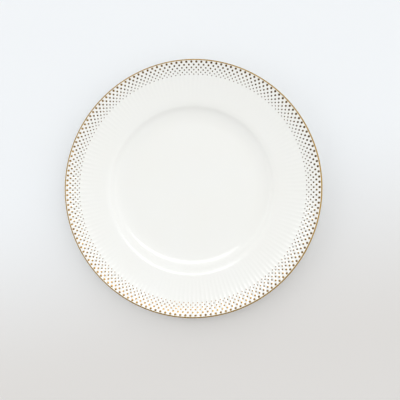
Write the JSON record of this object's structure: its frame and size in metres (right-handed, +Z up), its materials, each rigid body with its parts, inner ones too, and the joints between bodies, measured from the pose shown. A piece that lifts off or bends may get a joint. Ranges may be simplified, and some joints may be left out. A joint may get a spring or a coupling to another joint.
{
  "type": "dinner plate",
  "caption": "Round white china dinner plate with a shallow well, a broad finely fluted rim, staggered rows of gilt dots and a gilded lip.",
  "frame": {"origin": "centre of the foot ring, on the surface that the plate stands on", "axes": "+Z up along the plate's axis, out of the well; +X and +Y across the plate, which is the same all the way round"},
  "size_m": [0.27, 0.27, 0.023],
  "materials": {
    "porcelain": "clear glossy glaze over white china",
    "gilding_edge": "burnished gold, brushed on round the lip and fired",
    "gilding_dots": "bright gold transfer, fired on the glaze"
  },
  "bodies": {
    "root": {"porcelain_body": "porcelain", "gilt_edge_band": "gilding_edge", "gilt_dot_row_1": "gilding_dots", "gilt_dot_row_2": "gilding_dots", "gilt_dot_row_3": "gilding_dots", "gilt_dot_row_4": "gilding_dots", "gilt_dot_row_5": "gilding_dots", "gilt_dot_row_6": "gilding_dots"}
  },
  "joints": []
}
